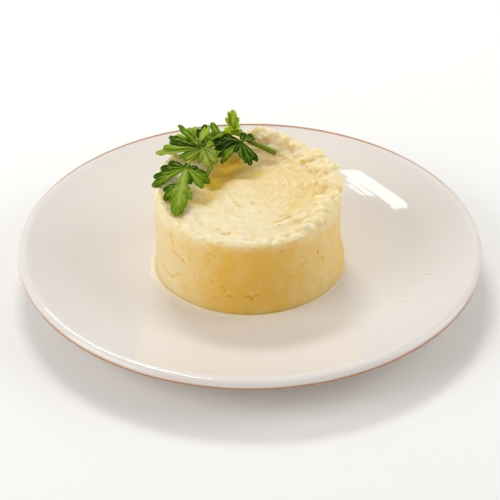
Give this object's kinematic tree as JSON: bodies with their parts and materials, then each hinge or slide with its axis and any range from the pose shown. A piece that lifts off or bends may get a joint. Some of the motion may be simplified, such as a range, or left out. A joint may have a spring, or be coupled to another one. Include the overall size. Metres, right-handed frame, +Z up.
{
  "type": "mashed potato side",
  "caption": "Ring-moulded drum of mashed potato with a rough back rim and a parsley sprig, on a shallow round side plate.",
  "frame": {"origin": "on the table under the centre of the plate", "axes": "+Z up through the middle of the plate, +X to the right, -Y to the front, where the mash's rim is low and the parsley lies at the left"},
  "size_m": [0.2096, 0.21, 0.0687],
  "materials": {
    "glazed_plate": "gloss cream-white glaze with a thin brown line round the edge",
    "mashed_potato": "soft, slightly moist pale yellow food surface",
    "parsley": "satin fresh green leaf"
  },
  "bodies": {
    "root": {"plate": "glazed_plate", "mash": "mashed_potato", "parsley_sprig": "parsley"}
  },
  "joints": []
}
